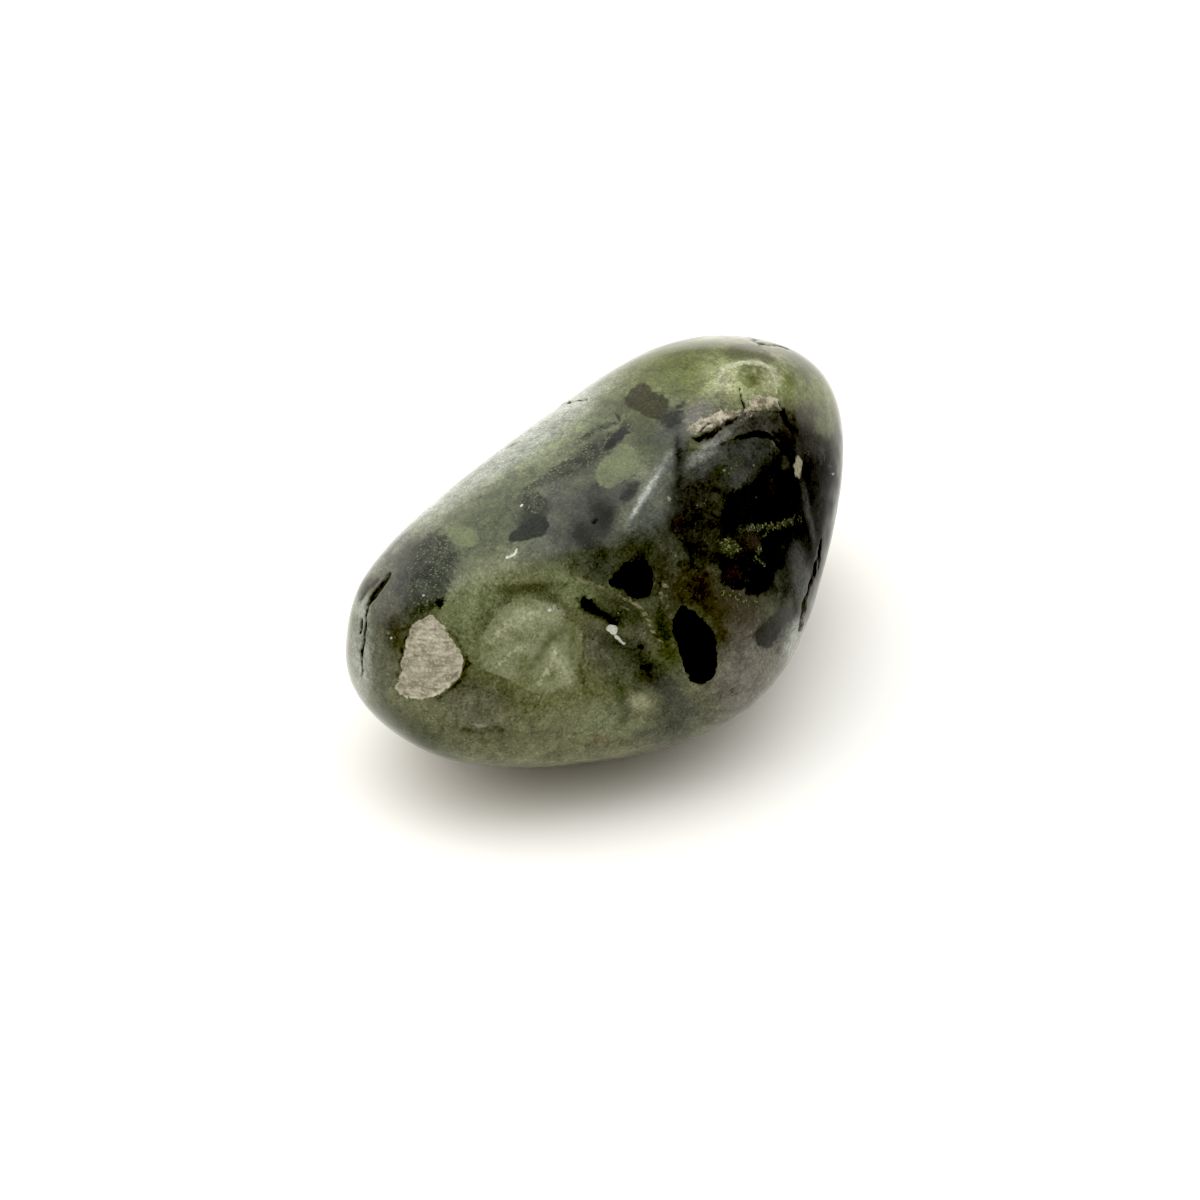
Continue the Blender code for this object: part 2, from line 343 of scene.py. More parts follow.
# Patches: chart, mineral, how wide the edge fades in mm, and the outline in mm
PATCHES = {
    "left_dark_patch": ("front", "amphibole", 0.28, [
        (-7.0, 1.5), (-6.63, 1.42), (-6.4, 0.9), (-6.1, 0.64), (-6.0, 0.27), (-6.2, -0.1), (-6.26, -0.76),
        (-6.57, -1.24), (-6.63, -1.54), (-7.0, -1.9), (-7.5, -2.15), (-8.1, -2.1), (-8.3, -1.5),
        (-8.0, -0.9), (-8.2, -0.2), (-7.9, 0.5), (-7.4, 1.0)]),
    "upper_dark_patch": ("front", "umber", 0.12, [
        (1.0, 6.85), (1.06, 7.2), (1.5, 7.55), (1.77, 7.83), (2.05, 7.6), (2.33, 7.27), (2.8, 7.2),
        (2.97, 6.85), (2.8, 6.56), (2.33, 6.0), (2.0, 6.28), (1.4, 6.63)]),
    "granular_clump": ("front", "amphibole", 0.22, [
        (-3.4, 3.0), (-2.9, 3.15), (-2.4, 2.9), (-2.4, 2.4), (-2.9, 2.15), (-3.3, 2.4)]),
    "wedge": ("front", "slate", 0.09, [
        (-3.9, 0.94), (-3.85, 1.3), (-3.5, 1.66), (-3.0, 1.94), (-2.5, 2.15), (-2.2, 2.0), (-2.15, 1.6),
        (-2.4, 1.2), (-2.85, 1.15), (-3.4, 1.0)]),
    "upper_dark_tail": ("front", "slate", 0.35, [
        (2.4, 6.5), (2.9, 6.55), (3.5, 6.6), (3.6, 6.2), (3.3, 5.7), (2.8, 5.75), (2.45, 6.1)]),
    "granular_end": ("front", "slate", 0.10, [
        (0.0, 4.85), (0.24, 5.15), (0.54, 5.54), (0.9, 5.84), (1.2, 5.84), (1.08, 5.48), (0.6, 5.1),
        (0.24, 4.85)]),
    "beside_streak": ("front", "slate", 0.28, [
        (0.7, 2.9), (1.0, 3.4), (1.6, 3.6), (1.7, 3.2), (1.3, 2.75), (0.9, 2.65)]),
    "teal_band": ("front", "slate", 0.30, [
        (-1.1, -1.6), (-0.85, -1.35), (-0.4, -1.4), (0.0, -1.75), (0.3, -2.05), (0.85, -2.35),
        (0.8, -2.6), (0.2, -2.45), (-0.3, -2.1), (-0.75, -2.0)]),
    "right_low_slate": ("front", "slate", 0.16, [
        (6.45, -3.0), (6.7, -2.6), (7.0, -2.35), (7.3, -2.05), (7.8, -1.75), (8.2, -1.8), (8.1, -2.3),
        (7.7, -2.6), (7.45, -3.0), (7.3, -3.5), (7.0, -3.55), (6.6, -3.3)]),
    "left_edge_slate": ("front", "slate", 0.16, [
        (-9.5, -0.5), (-9.9, -0.9), (-10.1, -1.2), (-10.3, -1.8), (-10.0, -1.5), (-9.7, -1.0),
        (-9.4, -0.6)]),
    # Painted sheen with crisp edges on a slope of the dark hollow.
    "right_sheen": ("front", "facet_sheen", 0.26, [
        (5.6, 5.1), (6.2, 5.45), (7.2, 5.4), (7.5, 4.9), (7.0, 4.6), (6.5, 4.0), (6.0, 3.3), (5.4, 3.2),
        (5.4, 4.1)]),
    "core_upper": ("front", "hornblende", 0.20, [
        (5.4, 2.6), (5.75, 3.0), (6.4, 3.4), (6.85, 3.85), (7.25, 4.15), (7.75, 3.9), (8.05, 3.5),
        (8.5, 3.1), (8.7, 2.5), (8.5, 2.15), (7.6, 2.1), (6.7, 2.0), (6.0, 1.7), (5.3, 1.7),
        (5.15, 2.15)]),
    "core_lower": ("front", "hornblende", 0.18, [
        (7.15, 0.94), (7.6, 1.1), (7.75, 0.33), (7.6, -0.2), (7.3, -0.76), (6.9, -1.24), (6.5, -1.36),
        (6.1, -1.18), (6.3, -0.63), (6.5, -0.1), (6.9, 0.1), (6.96, 0.58)]),
    "core_lower_left": ("front", "hornblende", 0.20, [
        (5.2, 0.27), (6.0, 0.33), (6.3, 0.03), (6.3, -0.63), (6.05, -1.1), (5.5, -0.94), (5.1, -0.8),
        (5.0, -0.27)]),
    "middle_lens": ("front", "hornblende", 0.12, [
        (0.3, -0.76), (0.66, -0.33), (1.0, 0.1), (1.5, 0.2), (1.93, 0.2), (2.1, -0.15), (2.32, -0.5),
        (2.23, -1.0), (2.0, -1.36), (1.7, -1.54), (1.33, -1.36), (0.96, -1.0), (0.6, -0.88)]),
    "diamond": ("front", "hornblende", 0.10, [
        (3.57, -1.54), (4.0, -2.0), (4.4, -2.5), (4.96, -3.0), (5.0, -3.66), (4.96, -4.26), (4.84, -4.8),
        (4.48, -5.1), (4.0, -5.05), (3.75, -4.6), (3.5, -4.0), (3.27, -3.36), (3.1, -2.9), (3.15, -2.3),
        (3.4, -1.85)]),
    "leaf": ("front", "jade", 0.11, [
        (-4.2, -1.95), (-3.8, -1.65), (-3.4, -1.47), (-2.7, -1.4), (-2.2, -1.65), (-1.9, -2.0),
        (-1.4, -2.3), (-0.9, -2.6), (-0.7, -3.2), (-0.8, -4.0), (-1.1, -4.6), (-1.4, -5.1), (-2.0, -5.45),
        (-2.8, -5.4), (-3.3, -5.2), (-3.97, -4.8), (-4.45, -4.57), (-5.0, -4.4), (-5.1, -3.8),
        (-5.1, -3.3), (-4.7, -2.6)]),
    "upper_lens": ("front", "celadon", 0.14, [
        (-0.07, 4.15), (0.24, 4.63), (0.7, 5.1), (1.08, 5.24), (1.45, 4.87), (1.7, 4.45), (1.5, 4.0),
        (0.96, 3.6), (0.36, 3.24), (-0.13, 3.36), (-0.25, 3.7)]),
    "pale_step": ("front", "celadon", 0.14, [
        (-6.55, 1.45), (-6.2, 1.7), (-5.5, 1.6), (-5.0, 1.2), (-5.3, 0.7), (-6.0, 0.68), (-6.35, 1.0)]),
    # The next two patches are the ledge's rims: pale pinkish stone, partly painted highlight where they
    # catch the light.
    "ledge_second_rim": ("front", "pale_rim_and_highlight", 0.16, [
        (6.0, 6.5), (6.2, 6.85), (6.6, 7.05), (7.2, 7.12), (7.6, 6.95), (7.72, 6.65), (7.3, 6.72),
        (6.8, 6.65), (6.4, 6.5)]),
    "ledge_rim": ("front", "pale_rim_and_highlight", 0.18, [
        (3.7, 5.55), (3.85, 6.0), (4.3, 6.25), (4.8, 6.35), (5.3, 6.5), (5.8, 6.6), (6.1, 6.6),
        (5.7, 6.3), (5.2, 6.05), (4.8, 5.8), (4.3, 5.6), (3.95, 5.45)]),
    "core_rust": ("front", "rust", 0.35, [
        (5.1, 0.0), (5.7, 0.1), (6.1, -0.1), (6.05, -0.7), (5.5, -0.85), (5.1, -0.6)]),
    "seam_rust": ("front", "rust", 0.25, [
        (6.24, 1.3), (6.7, 1.36), (6.9, 1.0), (6.7, 0.5), (6.4, 0.45), (6.2, 0.8)]),
    "left_rust": ("front", "rust", 0.5, [(3.0, 1.9), (3.5, 2.1), (3.8, 1.7), (3.6, 1.4), (3.1, 1.4)]),
    "seam_patch": ("front", "epidote", 0.12, [
        (5.1, 1.05), (5.6, 1.15), (6.0, 0.95), (5.9, 0.6), (5.4, 0.5), (5.1, 0.7)]),
    "cream_spot": ("front", "cream", 0.10, [
        (8.2, 4.1), (8.25, 4.5), (8.45, 4.65), (8.65, 4.4), (8.6, 4.1), (8.45, 3.7), (8.25, 3.75)]),
    "white_chip": ("front", "chalk", 0.05, [
        (0.18, -2.75), (0.36, -2.48), (0.73, -2.57), (0.76, -2.87), (0.6, -3.0), (0.3, -2.84)]),
    "rough_patch": ("front", "sandstone", 0.05, [
        (-7.17, -2.1), (-6.85, -2.4), (-6.63, -2.54), (-6.5, -2.94), (-6.2, -3.3), (-5.96, -3.6),
        (-5.78, -4.0), (-5.9, -4.5), (-6.14, -4.93), (-6.5, -5.3), (-7.05, -5.6), (-7.5, -5.7),
        (-8.26, -5.63), (-8.7, -5.3), (-8.66, -5.05), (-8.4, -4.8), (-8.44, -4.0), (-8.26, -3.4),
        (-8.14, -2.94), (-7.96, -2.5), (-7.54, -2.33)]),
    "back_dark_patch": ("back", "amphibole", 0.18, [
        (-4.6, 2.4), (-3.0, 3.3), (-1.2, 2.6), (-0.6, 1.3), (-1.9, 0.4), (-3.3, 0.9), (-4.4, 0.6)]),
    "back_low_patch": ("back", "amphibole", 0.16, [
        (3.0, -0.2), (4.2, -0.5), (5.2, 0.3), (6.3, 0.0), (5.9, -1.0), (6.2, -2.2), (5.0, -1.9),
        (4.3, -2.9), (3.7, -1.8), (2.7, -1.5)]),
    "back_slate": ("back", "slate", 0.16, [
        (-6.6, -1.6), (-5.4, -1.0), (-4.6, -1.7), (-5.2, -2.8), (-6.3, -2.7)]),
    "back_leaf": ("back", "celadon", 0.18, [
        (-4.2, -2.4), (-2.4, -1.2), (-0.4, -1.8), (0.5, -3.4), (-1.2, -4.4), (-3.4, -4.0)]),
    "back_upper_leaf": ("back", "celadon", 0.18, [
        (3.8, 3.4), (5.6, 3.2), (7.4, 1.8), (6.6, 0.8), (4.8, 1.4), (3.6, 2.4)]),
    "back_moss": ("back", "moss", 0.5, [(-7.4, 4.4), (-5.8, 5.0), (-5.0, 4.0), (-6.2, 3.0), (-7.4, 3.2)]),
    "back_sandstone": ("back", "sandstone", 0.05, [
        (8.0, -1.8), (8.4, -1.65), (8.8, -1.5), (9.2, -1.9), (9.3, -2.3), (9.0, -2.7), (8.9, -3.1),
        (8.5, -3.0), (8.1, -2.9), (8.2, -2.3)]),
}

# Lines: chart, mineral, half width in the middle and width of the fading edge in mm, and points
LINES = {
    "granular_band": ("front", "amphibole", 0.40, 0.14, [
        (-2.6, 3.5), (-2.06, 3.75), (-1.7, 4.0), (-1.2, 4.2), (-0.85, 4.45), (-0.5, 4.7), (0.1, 4.95),
        (0.54, 5.3), (0.9, 5.6), (1.14, 5.84)]),
    "granular_upper_band": ("front", "amphibole", 0.15, 0.10, [
        (-1.2, 5.1), (-0.6, 5.4), (0.0, 5.8), (0.7, 6.0)]),
    "granular_tail": ("front", "amphibole", 0.14, 0.12, [(-3.4, 3.2), (-3.0, 3.3), (-2.4, 3.6)]),
    "dark_rim": ("front", "slate", 0.12, 0.2, [(3.0, 6.55), (3.4, 6.7), (3.65, 6.95)]),
    "flecks_low": ("front", "pearl", 0.05, 0.12, [(-5.5, -6.7), (-5.2, -6.8), (-4.75, -6.8)]),
    "leaf_groove": ("front", "leaf_shade", 0.14, 0.35, [
        (-1.6, -2.7), (-2.2, -3.3), (-2.65, -3.9), (-3.0, -4.4)]),
    "leaf_groove_low": ("front", "leaf_shade", 0.06, 0.3, [(-1.15, -2.9), (-1.3, -3.6), (-1.2, -4.3)]),
    # The next three lines are painted highlights along the leaf's folds.
    "leaf_fold": ("front", "pale_highlight", 0.10, 0.20, [(-4.6, -3.3), (-3.9, -2.6), (-3.2, -2.2), (-2.5, -2.0)]),
    "leaf_low_fold": ("front", "pale_highlight", 0.10, 0.20, [(-2.7, -5.0), (-2.1, -4.3), (-1.9, -3.5)]),
    "leaf_side_fold": ("front", "pale_highlight", 0.04, 0.16, [(-4.4, -4.3), (-3.7, -3.7), (-3.0, -3.3)]),
    # Painted highlight along the loop's raised rim, laid over its real ridge.
    "loop": ("front", "pale_highlight", 0.09, 0.08, [
        (4.9, 7.8), (5.1, 8.15), (5.6, 8.42), (6.0, 8.5), (6.57, 8.54), (7.0, 8.4), (7.27, 8.1),
        (7.4, 7.76), (7.5, 7.34)]),
    "arc": ("front", "cream", 0.085, 0.08, [
        (0.0, -0.9), (0.48, -0.94), (0.85, -1.18), (1.33, -1.54), (1.7, -1.85), (1.94, -2.2),
        (2.15, -2.57), (2.35, -3.0), (2.7, -3.4)]),
    "inner_arc": ("front", "cream", 0.05, 0.1, [(0.9, -1.6), (1.05, -1.8), (1.2, -2.0)]),
    "left_arc": ("front", "cream", 0.05, 0.15, [(-1.3, -0.5), (-0.8, -0.65), (0.0, -0.9)]),
    "yellow_line": ("front", "cream", 0.05, 0.12, [(-7.78, -7.7), (-7.35, -7.9), (-6.8, -8.1)]),
    "seam": ("front", "epidote", 0.13, 0.12, [
        (6.0, 1.5), (6.5, 1.66), (7.1, 1.6), (7.6, 1.73), (7.9, 1.9), (8.5, 1.96)]),
    "seam_branch": ("front", "epidote", 0.05, 0.1, [(7.1, 1.4), (6.8, 0.8), (6.5, 0.27), (7.0, 0.0)]),
    "sheen_seam": ("front", "epidote", 0.06, 0.15, [(5.8, 4.7), (5.9, 4.2), (5.4, 3.85)]),
    "low_grain": ("front", "epidote", 0.12, 0.2, [(5.2, -1.05), (5.9, -1.4), (6.5, -1.6)]),
    "olive_stroke": ("front", "epidote", 0.05, 0.12, [(7.6, -1.1), (7.45, -1.7)]),
    "zigzag": ("front", "moss", 0.10, 0.35, [(8.05, 8.0), (8.5, 8.33), (8.9, 7.83), (8.76, 7.4)]),
    "left_moss": ("front", "moss", 0.08, 0.15, [(-9.68, -0.7), (-9.9, -1.06), (-10.2, -1.3)]),
    "squiggle": ("front", "chalk", 0.06, 0.06, [(-3.9, 0.34), (-3.7, 0.4), (-3.58, 0.52), (-3.55, 0.7)]),
    "chip_tail": ("front", "chalk", 0.07, 0.1, [(0.6, -3.0), (0.8, -3.15), (0.98, -3.35)]),
    # The ledge's top arc: pale pinkish stone, partly painted highlight where it catches the light.
    "ledge_arc": ("front", "pale_rim_and_highlight", 0.12, 0.10, [
        (6.0, 6.55), (6.4, 6.93), (6.95, 7.06), (7.45, 7.0), (7.68, 6.7)]),
    "rust_streak": ("front", "rust", 0.07, 0.15, [(8.0, 6.0), (8.0, 5.4)]),
    "flank_rust": ("front", "rust", 0.10, 0.2, [(9.4, 5.2), (9.4, 4.5)]),
    "core_glow": ("front", "rust", 0.08, 0.2, [(7.3, 3.85), (7.35, 3.2)]),
    "red_dash": ("front", "rust", 0.035, 0.07, [(-1.85, 1.6), (-1.7, 1.35), (-1.72, 1.1)]),
    "centre_crack": ("front", "rust", 0.03, 0.06, [
        (0.18, 1.42), (0.48, 1.3), (1.02, 1.36), (1.63, 1.36)]),
    "rough_rim": ("front", "umber", 0.08, 0.22, [
        (-6.4, -2.8), (-5.9, -3.4), (-5.6, -4.05), (-5.75, -4.5), (-6.0, -4.95), (-6.4, -5.4),
        (-6.9, -5.7)]),
    "rough_left_rim": ("front", "umber", 0.05, 0.15, [
        (-8.0, -2.5), (-8.3, -3.2), (-8.52, -4.1), (-8.55, -4.7)]),
    "fissure": ("front", "umber", 0.04, 0.3, [(-5.8, -7.0), (-5.0, -7.1), (-4.1, -7.0)]),
    "thin_crack": ("front", "slate", 0.03, 0.08, [(1.2, 5.6), (1.57, 5.0), (1.93, 4.45)]),
    "spike": ("front", "slate", 0.09, 0.08, [(0.58, 6.5), (0.72, 6.25), (0.95, 6.0)]),
    "scratch": ("front", "slate", 0.02, 0.05, [(-4.4, 4.75), (-3.7, 5.0), (-3.15, 5.3)]),
    "left_crack": ("front", "crack", 0.10, 0.07, [
        (-8.93, -0.3), (-9.17, -0.64), (-9.5, -1.24), (-9.8, -1.8)]),
    "left_lower_crack": ("front", "crack", 0.04, 0.05, [
        (-9.7, -1.6), (-9.9, -2.2), (-9.96, -2.9), (-10.05, -3.4), (-10.1, -4.0), (-10.14, -4.7)]),
    "left_small_crack": ("front", "crack", 0.05, 0.05, [(-10.05, -2.27), (-10.1, -2.5), (-10.2, -2.9)]),
    "under_ledge_crack": ("front", "crack", 0.08, 0.09, [
        (3.75, 5.45), (4.0, 5.38), (4.6, 5.57), (5.0, 5.84), (5.4, 6.08), (5.8, 6.3)]),
    "second_crack": ("front", "crack", 0.12, 0.10, [
        (5.9, 5.55), (6.4, 5.63), (6.85, 5.72), (7.26, 5.63), (7.5, 5.4), (7.57, 5.1)]),
    "upright_crack": ("front", "crack", 0.05, 0.06, [(5.9, 7.4), (5.97, 7.1), (6.1, 6.77), (6.0, 6.42)]),
    "ledge_side_crack": ("front", "crack", 0.07, 0.10, [(7.6, 6.9), (7.9, 6.5), (8.0, 6.0), (8.3, 5.7)]),
    "ledge_low_crack": ("front", "crack", 0.04, 0.07, [(4.2, 5.6), (4.5, 6.0), (4.8, 6.1)]),
    "right_crack": ("front", "crack", 0.05, 0.06, [
        (9.4, 1.1), (9.3, 0.57), (9.1, -0.45), (8.84, -1.1), (8.66, -1.8), (8.47, -2.8)]),
    "top_rim_crack": ("front", "crack", 0.03, 0.05, [(6.36, 9.6), (6.8, 9.4), (7.7, 9.3), (8.05, 9.1)]),
    "back_vein": ("back", "epidote", 0.09, 0.12, [
        (-6.8, 3.0), (-4.9, 2.0), (-3.4, 0.2), (-1.4, -0.6), (0.6, -2.4), (2.4, -2.8), (4.4, -4.4)]),
    "back_crack": ("back", "crack", 0.05, 0.05, [
        (0.6, 4.8), (1.8, 3.6), (2.2, 2.4), (3.6, 1.2), (4.2, -0.2)]),
    "back_small_crack": ("back", "crack", 0.04, 0.05, [(6.6, 2.4), (7.6, 1.0), (7.8, -0.6), (8.6, -1.6)]),
    "back_streak": ("back", "pearl", 0.10, 0.25, [(5.0, 4.6), (6.2, 3.9), (7.6, 3.1), (8.6, 1.8)]),
}

# Dots: chart, mineral, width of the fading edge in mm, and the middles with radii in mm
DOTS = {
    "left_blob": ("front", "slate", 0.10, [(-6.8, -1.55, 0.20), (1.7, -3.5, 0.14)]),
    "black_dots": ("front", "hornblende", 0.15, [(-0.28, 1.8, 0.12), (-0.6, -1.66, 0.26)]),
    "cream_dots": ("front", "cream", 0.08, [
        (2.7, -0.85, 0.09), (2.95, -0.95, 0.07), (2.6, -1.15, 0.08), (2.8, -1.3, 0.07),
        (2.55, -1.45, 0.06), (3.14, 0.33, 0.10), (2.72, -0.2, 0.06), (-4.5, -2.27, 0.05),
        (-6.27, 1.75, 0.05), (7.38, 9.2, 0.08), (2.95, 2.8, 0.14), (8.8, 4.75, 0.06), (9.8, 3.84, 0.06),
        (-1.0, 5.2, 0.07), (-1.5, 4.5, 0.06), (-8.95, -2.9, 0.07), (-8.3, -1.4, 0.05), (-7.6, -0.7, 0.05),
        (-6.5, -0.3, 0.05), (7.4, 3.05, 0.05), (6.6, 2.9, 0.04), (6.5, 4.2, 0.05), (5.3, 4.0, 0.06)]),
    "white_dots": ("front", "chalk", 0.06, [
        (-2.1, -1.9, 0.07), (-8.84, -3.1, 0.05), (-3.34, 2.5, 0.05), (-7.45, -1.3, 0.04),
        (0.75, -2.05, 0.03)]),
    "brown_dots": ("front", "umber", 0.10, [
        (-5.54, -4.1, 0.15), (-5.8, -3.85, 0.07), (-4.04, -4.87, 0.06), (-5.05, -7.45, 0.08),
        (-6.9, -2.75, 0.05), (-1.2, -1.65, 0.07), (-7.5, -4.5, 0.05), (-6.8, -4.6, 0.04)]),
    "rust_dots": ("front", "rust", 0.12, [
        (4.54, -0.4, 0.13), (9.7, 4.2, 0.07), (5.2, -3.2, 0.10), (5.4, -3.9, 0.08), (6.9, -2.65, 0.08),
        (4.6, 5.8, 0.06), (5.0, 6.0, 0.06), (-7.0, -1.7, 0.06)]),
    "epidote_dots": ("front", "epidote", 0.12, [
        (4.36, 2.57, 0.12), (5.57, -5.4, 0.12), (4.5, 1.1, 0.08)]),
    "back_dots": ("back", "cream", 0.08, [
        (-5.4, 0.6, 0.10), (-2.6, 2.1, 0.07), (1.4, 1.8, 0.08), (4.1, -1.7, 0.06), (6.8, -0.2, 0.07),
        (0.2, -3.0, 0.09), (-6.9, -3.1, 0.08)]),
}

# Steps in the skin: chart, drop and how far it takes to recover in mm, and the upper edge
# as points in mm. The skin drops on the right-hand side of the line.
STEPS = {
    "ledge": ("front", 0.28, 2.2, [
        (3.5, 5.4), (4.0, 5.4), (4.6, 5.6), (5.0, 5.85), (5.4, 6.1), (5.8, 6.35), (6.3, 6.5), (7.0, 6.65),
        (7.6, 6.55), (8.3, 6.7)]),
    "second_ledge": ("front", 0.18, 1.6, [
        (4.2, 4.9), (4.9, 5.25), (5.7, 5.5), (6.4, 5.66), (7.1, 5.72), (7.5, 5.4)]),
}

# A step falls over this distance from its upper edge, in mm
STEP_SHARPNESS = 0.12

# A step or a ridge grows to its full height over this share of its length, at both its ends
GROWING_END = 0.15

# Ridges: chart, height and half width in mm, and the crest as points in mm
RIDGES = {
    "streak_ridge": ("front", 0.07, 0.40, [(3.3, 4.9), (2.8, 4.2), (2.3, 3.5), (1.8, 2.8), (1.3, 2.1)]),
    "ledge_ridge": ("front", 0.05, 0.16, [
        (6.0, 6.6), (6.4, 6.95), (6.95, 7.08), (7.45, 7.02), (7.7, 6.7)]),
    "loop_ridge": ("front", 0.06, 0.16, [
        (5.0, 7.7), (5.1, 8.1), (5.6, 8.42), (6.0, 8.5), (6.57, 8.54), (7.0, 8.4), (7.27, 8.1),
        (7.4, 7.76)]),
}

# A ridge is worked out as far as this many half widths from its crest
RIDGE_REACH = 3.0

# Small chips: heading and tilt in degrees, radius and depth in mm
CHIPS = {
    "left_end_chip": (150, -6, 0.7, 0.10),
    "near_chip": (-150, -8, 0.5, 0.07),
    "back_chip": (80, 18, 0.8, 0.10),
    "back_low_chip": (30, -14, 0.6, 0.08),
    "tail_chip": (-8, 8, 0.7, 0.10),
    "top_chip": (60, 60, 0.5, 0.06),
}

# The higher this power, the steeper a chip's sides
CHIP_STEEPNESS = 4

# Wandering of the outlines: size and reach in mm, and the seed that it starts from
WANDERS = ((1.3, 0.10), (0.4, 0.07))
WANDER_SEED = 5

# Unevenness that the tumbler leaves in the skin: size and height in mm
SWELLS = ((2.6, 0.030), (0.9, 0.008))

# Depth of the cracks and of the rough patches' floor, in mm
CRACK_DEPTH = 0.10
ROUGH_RECESS = 0.09

# Where the relief of a crack, a rough patch and a white chip starts and is full, as depths inside
# the mark in edge widths
CRACK_SPAN = (-0.8, 1.0)
ROUGH_SPAN = (-0.4, 2.6)
WHITE_CHIP_SPAN = (-0.4, 1.4)

# Grain of the broken floors: height and size in mm, how much closer together the grains lie
# along X, Y and Z, layers of noise, and how far a white chip is sunk, as a share of their height
ROUGH_GRAIN_HEIGHT = 0.06
ROUGH_GRAIN_SIZE = 0.28
ROUGH_GRAIN_CLOSENESS = (0.5, 0.5, 2.0)
ROUGH_GRAIN_LAYERS = 4
WHITE_CHIP_SINK = 0.5


def facing(heading, tilt):
    """Unit vector for a heading about Z and a tilt above the horizontal, in degrees."""
    turn = math.radians(heading)
    rise = math.radians(tilt)
    return Vector((math.cos(turn) * math.cos(rise), math.sin(turn) * math.cos(rise), math.sin(rise)))


def smooth_step(values, start, end):
    """0 below start, 1 above end, and a smooth rise between them."""
    share = np.clip((values - start) / (end - start), 0.0, 1.0)
    return share * share * (3.0 - 2.0 * share)


def rounded_skin(ways):
    """Points of the rounded skin, before the hollows, in the directions ways."""
    half_sizes = np.empty_like(ways)
    half_sizes[:, 0] = BODY_HALF_LENGTH
    half_sizes[:, 1] = BODY_HALF_WIDTH
    half_sizes[:, 2] = np.where(ways[:, 2] > 0, BODY_RISE, BODY_DEPTH)
    total = np.linalg.norm(ways / half_sizes, axis=1) ** EDGE_SHARPNESS
    for heading, tilt, distance in FACES.values():
        share = ways @ np.array(facing(heading, tilt)) / (distance * MM)
        total += np.maximum(share, 0.0) ** EDGE_SHARPNESS
    return ways * (total ** (-1.0 / EDGE_SHARPNESS))[:, None]


def worn_skin(sphere_points):
    """Points of the worn skin for points of a unit sphere, as metres from the stone's middle."""
    stretched = sphere_points * (BODY_HALF_LENGTH, BODY_HALF_WIDTH, BODY_RISE)
    ways = stretched / np.linalg.norm(stretched, axis=1)[:, None]
    points = rounded_skin(ways)
    for heading, tilt, radius, depth in HOLLOWS.values():
        centre = rounded_skin(np.array([facing(heading, tilt)]))
        gap = np.linalg.norm(rounded_skin(ways) - centre, axis=1) / (radius * MM)
        points -= ways * (depth * MM * np.exp(-gap * gap))[:, None]
    return points


def chart_axes(chart):
    """The chart's directions: right, up and towards the eye."""
    heading, tilt = CHARTS[chart]
    sight = facing(heading, tilt)
    right = facing(heading + QUARTER_TURN, 0.0)
    return np.array(right), np.array(sight.cross(right)), np.array(sight)


def on_chart(points, chart):
    """Where points of the skin lie on a chart, in mm. The front chart is seen from the camera."""
    right, up, sight = chart_axes(chart)
    u = points @ right
    v = points @ up
    if chart == "front":
        grow = VIEW_DISTANCE / (VIEW_DISTANCE - points @ sight)
        u = u * grow
        v = (v + AIM_DROP) * grow - AIM_DROP
    return np.stack((u, v), axis=1) / MM


def cut_corners(points, closed):
    """Round an outline or a line by cutting its corners."""
    points = np.array(points)
    for _ in range(CORNER_CUTS):
        ends = np.roll(points, -1, axis=0)
        near = points * (1.0 - CORNER_SHARE) + ends * CORNER_SHARE
        far = points * CORNER_SHARE + ends * (1.0 - CORNER_SHARE)
        cut = np.stack((near, far), axis=1)
        if closed:
            points = cut.reshape(-1, 2)
        else:
            points = np.concatenate((points[:1], cut[:-1].reshape(-1, 2), points[-1:]))
    return points


def gaps_to_runs(places, starts, ends):
    """Distance from each place to each straight run, and the share of the run passed."""
    runs = ends - starts
    gaps = places[:, None, :] - starts
    share = np.clip((gaps * runs).sum(axis=2) / (runs * runs).sum(axis=1), 0.0, 1.0)
    return np.linalg.norm(gaps - share[:, :, None] * runs, axis=2), share


def depth_in_patch(places, outline):
    """How deep each place lies inside a closed outline, in mm. It is negative outside.

    A place is inside where a level line from it to the right crosses the outline an odd number
    of times. A level run is never crossed, so any rise does for it.
    """
    starts = cut_corners(outline, closed=True)
    ends = np.roll(starts, -1, axis=0)
    nearest = gaps_to_runs(places, starts, ends)[0].min(axis=1)
    u = places[:, 0:1]
    v = places[:, 1:2]
    spans = (starts[:, 1] > v) != (ends[:, 1] > v)
    rise = np.where(ends[:, 1] == starts[:, 1], 1.0, ends[:, 1] - starts[:, 1])
    crossing = starts[:, 0] + (v - starts[:, 1]) / rise * (ends[:, 0] - starts[:, 0])
    inside = (spans & (u < crossing)).sum(axis=1) % 2 == 1
    return np.where(inside, nearest, -nearest)


def along_line(places, line):
    """Distance of each place from a line, its share of the way along, and its side.

    The side is 1 to the right of the line and -1 to the left.
    """
    points = cut_corners(line, closed=False)
    starts = points[:-1]
    runs = points[1:] - starts
    lengths = np.linalg.norm(runs, axis=1)
    passed = np.concatenate(([0.0], np.cumsum(lengths)))
    distances, share = gaps_to_runs(places, starts, points[1:])
    nearest = distances.argmin(axis=1)
    rows = np.arange(len(places))
    way = (passed[nearest] + share[rows, nearest] * lengths[nearest]) / passed[-1]
    gaps = places - starts[nearest]
    turn = runs[nearest, 0] * gaps[:, 1] - runs[nearest, 1] * gaps[:, 0]
    return distances[rows, nearest], way, np.where(turn < 0, 1.0, -1.0)


def near_marks(places, points, margin):
    """Which places lie in the box of points, grown by margin."""
    points = np.array(points)
    low = points.min(axis=0) - margin
    high = points.max(axis=0) + margin
    return np.flatnonzero(((places > low) & (places < high)).all(axis=1))


